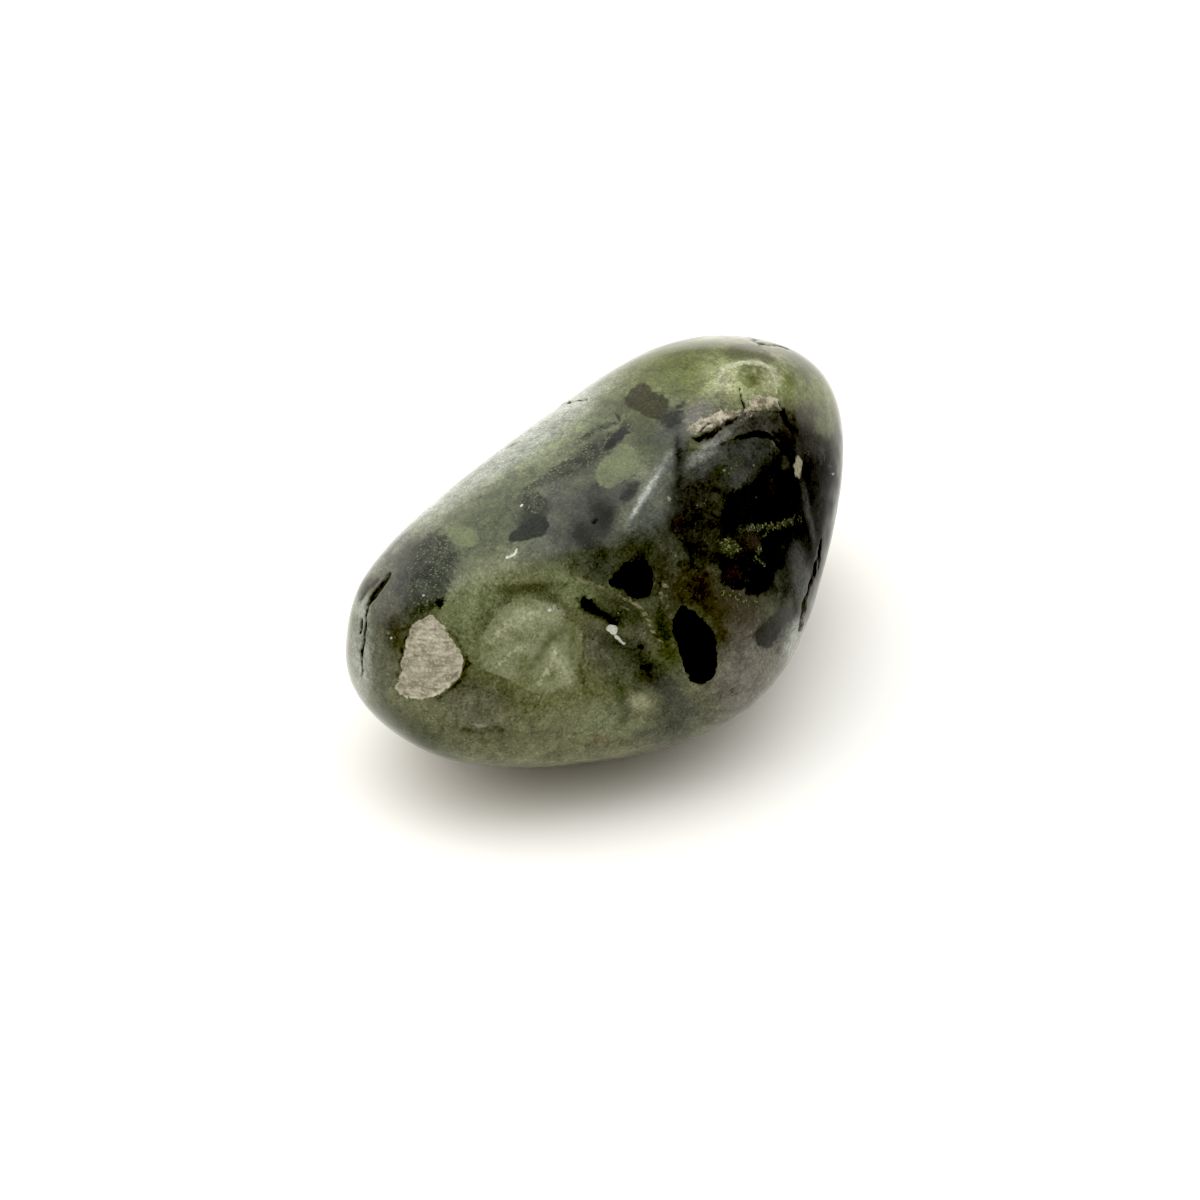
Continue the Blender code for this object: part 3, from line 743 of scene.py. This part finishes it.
def chart_views(points, normals):
    """For each chart: the places of the points, wandering a little, and how far each is shown."""
    views = {}
    for chart in CHARTS:
        places = on_chart(points, chart)
        for size, reach in WANDERS:
            drift = [noise.noise_vector(Vector(point) / (size * MM))[:2] for point in points]
            places = places + reach * np.array(drift)
        shown = smooth_step(normals @ chart_axes(chart)[2], CHART_GONE, CHART_FULL)
        views[chart] = (places, shown)
    return views


def mineral_depths(views, count, minerals):
    """How deep each point lies inside each mineral, in widths of the mark's fading edge."""
    depths = {mineral: np.full(count, -DEPTH_LIMIT) for mineral in minerals}
    for chart, mineral, edge, outline in PATCHES.values():
        if mineral in depths:
            places, shown = views[chart]
            near = near_marks(places, outline, DEPTH_REACH * edge)
            depth = depth_in_patch(places[near], outline)
            lay_depth(depths[mineral], near, depth / edge, shown[near])
    for chart, mineral, half_width, edge, line in LINES.values():
        if mineral in depths:
            places, shown = views[chart]
            near = near_marks(places, line, half_width + DEPTH_REACH * edge)
            distance, way, _ = along_line(places[near], line)
            taper = 1.0 - LINE_TAPER * (2.0 * way - 1.0) ** 2
            lay_depth(depths[mineral], near, (half_width * taper - distance) / edge, shown[near])
    for chart, mineral, edge, dots in DOTS.values():
        if mineral in depths:
            places, shown = views[chart]
            for u, v, radius in dots:
                near = near_marks(places, [(u, v)], radius + DEPTH_REACH * edge)
                distance = np.linalg.norm(places[near] - (u, v), axis=1)
                lay_depth(depths[mineral], near, (radius - distance) / edge, shown[near])
    return depths


def lay_depth(depths, near, depth, shown):
    """Put a mark's depth over what is there, as far as its chart shows it."""
    faded = depth * shown - DEPTH_LIMIT * (1.0 - shown)
    depths[near] = np.maximum(depths[near], np.clip(faded, -DEPTH_LIMIT, DEPTH_LIMIT))


def matrix_colours(points, views):
    """The matrix's colour at each point: the base tone, with the clouds laid over it.

    The fourth number is how strongly the matrix mirrors there.
    """
    patchy = np.array([
        noise.fractal(Vector(point) / (CLOUD_PATCH_SIZE * MM), LAYER_FADE, LAYER_STEP, CLOUD_PATCH_LAYERS)
        for point in points])
    colours = np.tile(tone_and_mirror(BASE_TONE), (len(points), 1))
    for chart, clouds in CLOUDS.items():
        places, shown = views[chart]
        for tone, u, v, half_length, half_width, turn, strength in clouds:
            angle = math.radians(turn)
            gaps = places - (u, v)
            along = (gaps[:, 0] * math.cos(angle) + gaps[:, 1] * math.sin(angle)) / half_length
            across = (gaps[:, 1] * math.cos(angle) - gaps[:, 0] * math.sin(angle)) / half_width
            reach = np.hypot(along, across) + CLOUD_PATCHINESS * patchy
            weight = strength * np.exp(-CLOUD_FADE * np.maximum(reach, 0.0) ** CLOUD_CRISPNESS)
            colours += (weight * shown)[:, None] * (tone_and_mirror(tone) - colours)
    return colours


def tone_and_mirror(tone):
    """A tone's linear colour and how strongly it mirrors, as an array."""
    colour, mirror = TONES[tone]
    return np.array(linear(colour)[:3] + (mirror,))


def sphere_places(mesh_data):
    """The points of a mesh being made, as an array."""
    return np.array([vertex.co[:] for vertex in mesh_data.verts])


def fine_points(sphere_points, reach):
    """Which points of the skin lie within reach of a mark or a line that has small relief."""
    points = worn_skin(sphere_points)
    outward = points / np.linalg.norm(points, axis=1)[:, None]
    views = chart_views(points, outward)
    depths = mineral_depths(views, len(points), FINE_MINERALS)
    fine = np.zeros(len(points), dtype=bool)
    for depth in depths.values():
        fine |= depth > -reach / FINE_EDGE
    for chart, _, _, line in list(STEPS.values()) + list(RIDGES.values()):
        places, shown = views[chart]
        near = near_marks(places, line, reach)
        distance = along_line(places[near], line)[0]
        fine[near] |= (distance < reach) & (shown[near] > FINE_SHOWN)
    return fine


def split_sphere():
    """A sphere with smaller triangles wherever the skin has small relief."""
    mesh_data = bmesh.new()
    bmesh.ops.create_icosphere(mesh_data, subdivisions=SPHERE_SUBDIVISIONS, radius=1.0)
    for reach in FINE_REACHES:
        fine = fine_points(sphere_places(mesh_data), reach)
        mesh_data.verts.index_update()
        edges = [edge for edge in mesh_data.edges if all(fine[v.index] for v in edge.verts)]
        bmesh.ops.subdivide_edges(mesh_data, edges=edges, cuts=1, use_grid_fill=True)
        bmesh.ops.triangulate(mesh_data, faces=[f for f in mesh_data.faces if len(f.verts) > 3])
    bmesh.ops.recalc_face_normals(mesh_data, faces=mesh_data.faces[:])
    return mesh_data


def skin_swell(points):
    """The unevenness that the tumbler leaves, in mm."""
    height = np.zeros(len(points))
    for size, tall in SWELLS:
        height += tall * np.array([noise.noise(Vector(point) / (size * MM)) for point in points])
    return height


def grown(way):
    """How much of its height a step or a ridge has at a share of its length."""
    return smooth_step(way, 0.0, GROWING_END) * (1.0 - smooth_step(way, 1.0 - GROWING_END, 1.0))


def step_relief(views, count):
    """Steps and ridges, in mm."""
    height = np.zeros(count)
    for chart, drop, recovery, line in STEPS.values():
        places, shown = views[chart]
        near = near_marks(places, line, recovery)
        distance, way, side = along_line(places[near], line)
        below = distance * side
        fall = smooth_step(below, 0.0, STEP_SHARPNESS)
        fall *= 1.0 - smooth_step(below, STEP_SHARPNESS, recovery)
        height[near] -= drop * fall * grown(way) * shown[near]
    for chart, tall, half_width, line in RIDGES.values():
        places, shown = views[chart]
        near = near_marks(places, line, RIDGE_REACH * half_width)
        distance, way, _ = along_line(places[near], line)
        height[near] += tall * np.exp(-((distance / half_width) ** 2)) * grown(way) * shown[near]
    return height


def chip_relief(points):
    """Small chips knocked out of the skin, in mm."""
    height = np.zeros(len(points))
    for heading, tilt, radius, depth in CHIPS.values():
        centre = rounded_skin(np.array([facing(heading, tilt)]))
        gap = np.linalg.norm(points - centre, axis=1) / (radius * MM)
        height -= depth * np.exp(-(gap ** CHIP_STEEPNESS))
    return height


def broken_relief(points, depths):
    """Cracks, and the recessed grainy floors of the rough patches and white chips, in mm."""
    height = -CRACK_DEPTH * smooth_step(depths["crack"], *CRACK_SPAN)
    rough = smooth_step(depths["sandstone"], *ROUGH_SPAN)
    chipped = smooth_step(depths["chalk"], *WHITE_CHIP_SPAN)
    grain = np.zeros(len(points))
    broken = np.flatnonzero((rough > 0) | (chipped > 0))
    for index in broken:
        place = Vector(points[index]) / (ROUGH_GRAIN_SIZE * MM)
        streaked = place * Vector(ROUGH_GRAIN_CLOSENESS)
        grain[index] = noise.fractal(streaked, LAYER_FADE, LAYER_STEP, ROUGH_GRAIN_LAYERS)
    height += rough * (ROUGH_GRAIN_HEIGHT * grain - ROUGH_RECESS)
    height += chipped * ROUGH_GRAIN_HEIGHT * (grain - WHITE_CHIP_SINK)
    return height


def fit_to_box(points):
    """Lay the stone on its flat, inside the box of the constructed stone, and give its middle."""
    points[:, 2] = np.maximum(points[:, 2], -FLAT_DEPTH)
    low = points.min(axis=0)
    high = points.max(axis=0)
    scale = min(1.0, ((np.array(cad_high) - np.array(cad_low)) / (high - low)).min())
    centre = (np.array(cad_low) + np.array(cad_high)) / 2
    offset = centre - (low + high) / 2 * scale
    offset[2] = cad_low[2] + FLAT_DEPTH * scale
    return points * scale + offset, Vector(offset)


def skin_normals(mesh):
    """The mesh's vertex normals as an array."""
    normals = np.empty(len(mesh.vertices) * 3)
    mesh.vertex_normals.foreach_get("vector", normals)
    return normals.reshape(-1, 3)


def make_stone():
    """The stone's mesh with its relief and mineral depths, and the place of its middle."""
    mesh_data = split_sphere()
    points = worn_skin(sphere_places(mesh_data))
    mesh = bpy.data.meshes.new("amphibole_stone")
    mesh_data.to_mesh(mesh)
    mesh_data.free()
    mesh.vertices.foreach_set("co", points.ravel())
    mesh.update()
    normals = skin_normals(mesh)
    views = chart_views(points, normals)
    depths = mineral_depths(views, len(points), MINERALS)
    colours = matrix_colours(points, views)
    height = skin_swell(points) + step_relief(views, len(points))
    height += chip_relief(points) + broken_relief(points, depths)
    points = points + normals * (height * MM)[:, None]
    points, middle = fit_to_box(points)
    mesh.vertices.foreach_set("co", points.ravel())
    for mineral, depth in depths.items():
        layer = mesh.attributes.new(mineral, "FLOAT", "POINT")
        layer.data.foreach_set("value", depth)
    layer = mesh.attributes.new("matrix", "FLOAT_COLOR", "POINT")
    layer.data.foreach_set("color", colours.ravel())
    mesh.shade_smooth()
    mesh.update()
    stone = bpy.data.objects.new("amphibole_stone", mesh)
    bpy.context.scene.collection.objects.link(stone)
    return stone, middle


# Grains of the stone: size in mm and how many finer sizes each holds
GRAINS = {
    "fine": (0.11, 3.0), "medium": (0.40, 3.0), "coarse": (0.90, 3.0), "fleck": (0.10, 1.0),
    "edge": (0.22, 3.0), "vein": (2.2, 4.0),
}
GRAIN_ROUGHNESS = 0.6

# Veins run where the vein grain passes this value
VEIN_CREST = 0.5

# What the grains turn into: the grain, the span of it that counts, and what its two ends become.
# Mottles and flecks are shares, the next six are gains in brightness, the last is a roughness.
SPANS = {
    "fine_mottle": ("fine", 0.38, 0.62, 0.0, 1.0),
    "medium_mottle": ("medium", 0.38, 0.62, 0.0, 1.0),
    "coarse_mottle": ("coarse", 0.38, 0.62, 0.0, 1.0),
    "flecks": ("fleck", 0.58, 0.64, 0.0, 1.0),
    "cloudiness": ("coarse", 0.3, 0.7, 0.86, 1.14),
    "patchiness": ("medium", 0.3, 0.7, 0.84, 1.16),
    "veins": ("vein", 0.47, 0.5, 1.0, 0.72),
    "dark_specks": ("fine", 0.30, 0.36, 0.55, 1.0),
    "pale_specks": ("fleck", 0.61, 0.66, 1.0, 1.35),
    "graininess": ("fine", 0.3, 0.7, 0.80, 1.20),
    "polish": ("coarse", 0.3, 0.7, 0.10, 0.18),
}
MATRIX_GAINS = ("patchiness", "veins", "dark_specks", "pale_specks")

# How far the edge grain pushes a mineral's edge in and out, and where the mineral's cover starts
# and is full, in widths of the edge
EDGE_SWING = 4.0
COVER_START = -0.5
COVER_FULL = 0.5

# Minerals, from the bottom layer up. Each has a main colour, a second colour and the mottling
# between them, then its flecks' colour and share, how ragged its edge is as a share of its
# fading width, its cover, its roughness and how strongly it mirrors.
MINERALS = {
    "moss": ("#40442a", "#2f3220", "medium", "#6d7044", 0.1, 0.6, 0.65, 0.18, 0.20),
    "celadon": ("#616846", "#52583b", "coarse", "#7c8060", 0.1, 0.5, 0.75, 0.13, 0.30),
    "jade": ("#919578", "#747859", "coarse", "#9a9c80", 0.1, 0.5, 0.68, 0.12, 0.30),
    "leaf_shade": ("#54583e", "#4c5038", "medium", "#7c8060", 0.0, 0.4, 0.70, 0.12, 0.30),
    "amphibole": ("#3b3d32", "#1f2017", "medium", "#747a5a", 0.50, 1.0, 0.86, 0.20, 0.20),
    "slate": ("#232420", "#151612", "medium", "#43463f", 0.2, 0.6, 0.88, 0.15, 0.20),
    "pearl": ("#9c9d92", "#8a8b80", "medium", "#a0a094", 0.1, 0.3, 0.70, 0.15, 0.30),
    # Painted sheen: grey reflection on a slope of the dark hollow.
    "facet_sheen": ("#42433e", "#2d2e2a", "coarse", "#565850", 0.1, 0.7, 0.75, 0.14, 0.12),
    "hornblende": ("#1f1f1d", "#1b1b1a", "coarse", "#302d25", 0.2, 0.9, 0.97, 0.12, 0.05),
    "rust": ("#2d2621", "#201e1b", "medium", "#4c3c2a", 0.3, 0.9, 0.70, 0.22, 0.10),
    "umber": ("#2f2c1f", "#232116", "medium", "#5a5440", 0.3, 0.8, 0.85, 0.25, 0.15),
    # Pale pinkish stone of the ledge's rims, painted lighter where the rims catch the light: partly the
    # stone's colour, partly painted highlight.
    "pale_rim_and_highlight": ("#b0a793", "#645e49", "medium", "#bcb2a6", 0.5, 1.2, 0.85, 0.20, 0.25),
    "epidote": ("#464c30", "#23241a", "fine", "#9a9c72", 0.5, 1.6, 0.75, 0.28, 0.12),
    # Painted highlight, for the loop's rim and the leaf's folds.
    "pale_highlight": ("#b0b294", "#949678", "medium", "#c4c4a8", 0.2, 0.6, 0.80, 0.15, 0.30),
    "cream": ("#9c987a", "#6c6a54", "fine", "#b0ac8c", 0.3, 0.7, 0.80, 0.25, 0.20),
    "chalk": ("#dcded2", "#a8aa9a", "fine", "#f0f0e8", 0.3, 0.9, 0.94, 0.45, 0.25),
    "sandstone": ("#b6b09d", "#958f7b", "medium", "#cac5b2", 0.5, 1.2, 1.00, 0.80, 0.15),
    "crack": ("#1a1813", "#25231b", "medium", "#3a3a26", 0.2, 0.9, 0.90, 0.60, 0.05),
}
STONE_IOR = 1.5

# Grain that is left in the polish
BUMP_STRENGTH = 0.15
BUMP_HEIGHT = 0.02 * MM

# A mix: its share, what lies below and above, and the result, for colours and for numbers
MIX_SHARE = 0
COLOUR_BELOW = 6
COLOUR_ABOVE = 7
MIXED_COLOUR = 2
NUMBER_BELOW = 2
NUMBER_ABOVE = 3
MIXED_NUMBER = 0
OF_COLOURS = {"data_type": "RGBA"}

# The fourth number of a colour
OPAQUE = (1.0,)


def linear(hex_colour):
    """An sRGB hex colour as linear RGBA."""
    channels = [int(hex_colour[start:start + 2], 16) / 255.0 for start in (1, 3, 5)]
    return tuple(c / 12.92 if c <= 0.04045 else ((c + 0.055) / 1.055) ** 2.4 for c in channels) + OPAQUE


def add_node(tree, kind, settings, inputs):
    """Add a node with its settings. An input is a value, or a socket to link from."""
    node = tree.nodes.new(kind)
    for name, value in settings.items():
        setattr(node, name, value)
    for socket, value in inputs.items():
        if isinstance(value, bpy.types.NodeSocket):
            tree.links.new(value, node.inputs[socket])
        else:
            node.inputs[socket].default_value = value
    return node


def mineral_cover(tree, mineral, ragged_grain):
    """How far a mineral covers what is under it, from 0 to its full cover."""
    raggedness, cover = MINERALS[mineral][5:7]
    depth = add_node(tree, "ShaderNodeAttribute", {"attribute_name": mineral}, {})
    ragged = add_node(tree, "ShaderNodeMath", {"operation": "MULTIPLY_ADD"}, {
        0: ragged_grain, 1: raggedness, 2: depth.outputs["Fac"]})
    covering = add_node(tree, "ShaderNodeMapRange", {"interpolation_type": "SMOOTHSTEP"}, {
        "Value": ragged.outputs[0], "From Min": COVER_START, "From Max": COVER_FULL, "To Max": cover})
    return covering.outputs["Result"]


def grain_spans(tree, place):
    """The grains of the stone, and everything that is read off them."""
    grains = {}
    for name, (size, detail) in GRAINS.items():
        grain = add_node(tree, "ShaderNodeTexNoise", {}, {
            "Vector": place, "Scale": 1.0 / size, "Detail": detail, "Roughness": GRAIN_ROUGHNESS})
        grains[name] = grain.outputs["Fac"]
    crest = add_node(tree, "ShaderNodeMath", {"operation": "PINGPONG"}, {
        0: grains["vein"], 1: VEIN_CREST})
    grains["vein"] = crest.outputs[0]
    spans = {}
    for name, (grain, start, end, low, high) in SPANS.items():
        span = add_node(tree, "ShaderNodeMapRange", {"interpolation_type": "SMOOTHSTEP"}, {
            "Value": grains[grain], "From Min": start, "From Max": end, "To Min": low, "To Max": high})
        spans[name] = span.outputs["Result"]
    return grains, spans


def stone_material():
    """Pale green quartz-rich stone with dark amphibole, ground and polished in a tumbler.

    The polish gives a clear, wet-looking gloss. The grainy amphibole takes it less well, and
    the broken patches not at all.
    """
    material = bpy.data.materials.new("tumble_polished_amphibole_stone")
    material.use_nodes = True
    tree = material.node_tree
    shader = tree.nodes["Principled BSDF"]
    coordinates = add_node(tree, "ShaderNodeTexCoord", {}, {})
    place = add_node(tree, "ShaderNodeVectorMath", {"operation": "SCALE"}, {
        0: coordinates.outputs["Object"], "Scale": 1.0 / MM}).outputs[0]
    grains, spans = grain_spans(tree, place)
    ragged_grain = add_node(tree, "ShaderNodeMath", {"operation": "MULTIPLY_ADD"}, {
        0: grains["edge"], 1: EDGE_SWING, 2: -EDGE_SWING / 2}).outputs[0]

    matrix = add_node(tree, "ShaderNodeAttribute", {"attribute_name": "matrix"}, {})
    gain = spans["cloudiness"]
    for name in MATRIX_GAINS:
        gain = add_node(tree, "ShaderNodeMath", {"operation": "MULTIPLY"}, {
            0: gain, 1: spans[name]}).outputs[0]
    colour = add_node(tree, "ShaderNodeVectorMath", {"operation": "SCALE"}, {
        0: matrix.outputs["Color"], "Scale": gain}).outputs[0]
    roughness = spans["polish"]
    specular = matrix.outputs["Alpha"]

    for mineral, (main, second, mottle, fleck, fleck_share, _, _, gloss, mirror) in MINERALS.items():
        cover = mineral_cover(tree, mineral, ragged_grain)
        mottled = add_node(tree, "ShaderNodeMix", OF_COLOURS, {
            MIX_SHARE: spans[mottle + "_mottle"],
            COLOUR_BELOW: linear(main), COLOUR_ABOVE: linear(second)}).outputs[MIXED_COLOUR]
        share = add_node(tree, "ShaderNodeMath", {"operation": "MULTIPLY"}, {
            0: spans["flecks"], 1: fleck_share}).outputs[0]
        flecked = add_node(tree, "ShaderNodeMix", OF_COLOURS, {
            MIX_SHARE: share, COLOUR_BELOW: mottled, COLOUR_ABOVE: linear(fleck)}).outputs[MIXED_COLOUR]
        colour = add_node(tree, "ShaderNodeMix", OF_COLOURS, {
            MIX_SHARE: cover, COLOUR_BELOW: colour, COLOUR_ABOVE: flecked}).outputs[MIXED_COLOUR]
        roughness = add_node(tree, "ShaderNodeMix", {}, {
            MIX_SHARE: cover, NUMBER_BELOW: roughness, NUMBER_ABOVE: gloss}).outputs[MIXED_NUMBER]
        specular = add_node(tree, "ShaderNodeMix", {}, {
            MIX_SHARE: cover, NUMBER_BELOW: specular, NUMBER_ABOVE: mirror}).outputs[MIXED_NUMBER]

    grained = add_node(tree, "ShaderNodeVectorMath", {"operation": "SCALE"}, {
        0: colour, "Scale": spans["graininess"]})
    bump = add_node(tree, "ShaderNodeBump", {}, {
        "Strength": BUMP_STRENGTH, "Distance": BUMP_HEIGHT, "Height": grains["fine"]})
    tree.links.new(grained.outputs[0], shader.inputs["Base Color"])
    tree.links.new(roughness, shader.inputs["Roughness"])
    tree.links.new(specular, shader.inputs["Specular IOR Level"])
    tree.links.new(bump.outputs["Normal"], shader.inputs["Normal"])
    shader.inputs["IOR"].default_value = STONE_IOR
    return material


# The white floor, in metres, and how far it lies under the stone
FLOOR_COLOUR = "#f8f5ee"
FLOOR_ROUGHNESS = 0.9
FLOOR_SIZE = 2.4
FLOOR_GAP = 0.02 * MM

# Light of the studio from the horizon, from overhead, and as the camera sees it past the floor
SKY_LOW = (1.72, 1.55, 1.40)
SKY_HIGH = (2.65, 2.75, 2.85)
SKY_SEEN = (1.0, 1.0, 1.0)

# Parts of the sky that differ: heading, tilt, how near a direction starts and ends to belong to
# it, as cosines, its colour, and how it is laid over the sky
SKY_PARTS = {
    "window": (100.0, 12.0, 0.60, 0.95, (0.6, 0.6, 0.6), "ADD"),
    "dark_corner": (8.0, 8.0, 0.60, 0.92, (0.45, 0.44, 0.42), "MIX"),
    "behind_camera": (VIEW_HEADING, 18.0, 0.30, 0.80, (0.08, 0.075, 0.065), "MIX"),
}

# Light that is fainter than this falls to black, as in the photograph
BLACK_LEVEL = 0.035


def make_light():
    """Soft white light from all round, brightest from the far left, and dark behind the camera."""
    world = bpy.data.worlds.new("soft_studio")
    world.use_nodes = True
    bpy.context.scene.world = world
    tree = world.node_tree
    background = tree.nodes["Background"]
    way = add_node(tree, "ShaderNodeTexCoord", {}, {}).outputs["Generated"]
    height = add_node(tree, "ShaderNodeSeparateXYZ", {}, {0: way}).outputs["Z"]
    sky = add_node(tree, "ShaderNodeMix", OF_COLOURS, {
        MIX_SHARE: height, COLOUR_BELOW: SKY_LOW + OPAQUE,
        COLOUR_ABOVE: SKY_HIGH + OPAQUE}).outputs[MIXED_COLOUR]
    for heading, tilt, start, end, colour, blend in SKY_PARTS.values():
        near = add_node(tree, "ShaderNodeVectorMath", {"operation": "DOT_PRODUCT"}, {
            0: way, 1: facing(heading, tilt)}).outputs["Value"]
        share = add_node(tree, "ShaderNodeMapRange", {"interpolation_type": "SMOOTHSTEP"}, {
            "Value": near, "From Min": start, "From Max": end}).outputs["Result"]
        sky = add_node(tree, "ShaderNodeMix", {"data_type": "RGBA", "blend_type": blend}, {
            MIX_SHARE: share, COLOUR_BELOW: sky, COLOUR_ABOVE: colour + OPAQUE}).outputs[MIXED_COLOUR]
    seen = add_node(tree, "ShaderNodeLightPath", {}, {}).outputs["Is Camera Ray"]
    shown = add_node(tree, "ShaderNodeMix", OF_COLOURS, {
        MIX_SHARE: seen, COLOUR_BELOW: sky, COLOUR_ABOVE: SKY_SEEN + OPAQUE}).outputs[MIXED_COLOUR]
    tree.links.new(shown, background.inputs["Color"])


def make_floor():
    """A wide white matt floor that the stone lies on."""
    half = FLOOR_SIZE / 2
    level = cad_low[2] - FLOOR_GAP
    corners = [(-half, -half, level), (half, -half, level), (half, half, level), (-half, half, level)]
    mesh = bpy.data.meshes.new("floor")
    mesh.from_pydata(corners, [], [(0, 1, 2, 3)])
    material = bpy.data.materials.new("white_matt_board")
    material.use_nodes = True
    shader = material.node_tree.nodes["Principled BSDF"]
    shader.inputs["Base Color"].default_value = linear(FLOOR_COLOUR)
    shader.inputs["Roughness"].default_value = FLOOR_ROUGHNESS
    mesh.materials.append(material)
    floor = bpy.data.objects.new("floor", mesh)
    bpy.context.scene.collection.objects.link(floor)


def make_camera(middle):
    """The camera at the photograph's heading, tilt and distance."""
    sight = facing(VIEW_HEADING, VIEW_TILT)
    up = sight.cross(facing(VIEW_HEADING + QUARTER_TURN, 0.0))
    data = bpy.data.cameras.new("camera")
    data.lens = LENS_LENGTH
    data.sensor_width = SENSOR_WIDTH
    data.clip_start = CAMERA_NEAR
    camera = bpy.data.objects.new("camera", data)
    camera.location = middle - up * AIM_DROP + sight * VIEW_DISTANCE
    camera.rotation_euler = sight.to_track_quat("Z", "Y").to_euler()
    bpy.context.scene.collection.objects.link(camera)
    bpy.context.scene.camera = camera


def set_print():
    """Plain colours with deep blacks."""
    view = bpy.context.scene.view_settings
    view.view_transform = "Standard"
    view.use_curve_mapping = True
    view.curve_mapping.black_level = (BLACK_LEVEL, BLACK_LEVEL, BLACK_LEVEL)
    view.curve_mapping.update()


noise.seed_set(WANDER_SEED)
stone, stone_middle = make_stone()
stone.data.materials.append(stone_material())
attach(stone, "root")
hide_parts("tumbled_stone")
make_light()
make_floor()
make_camera(stone_middle)
set_print()
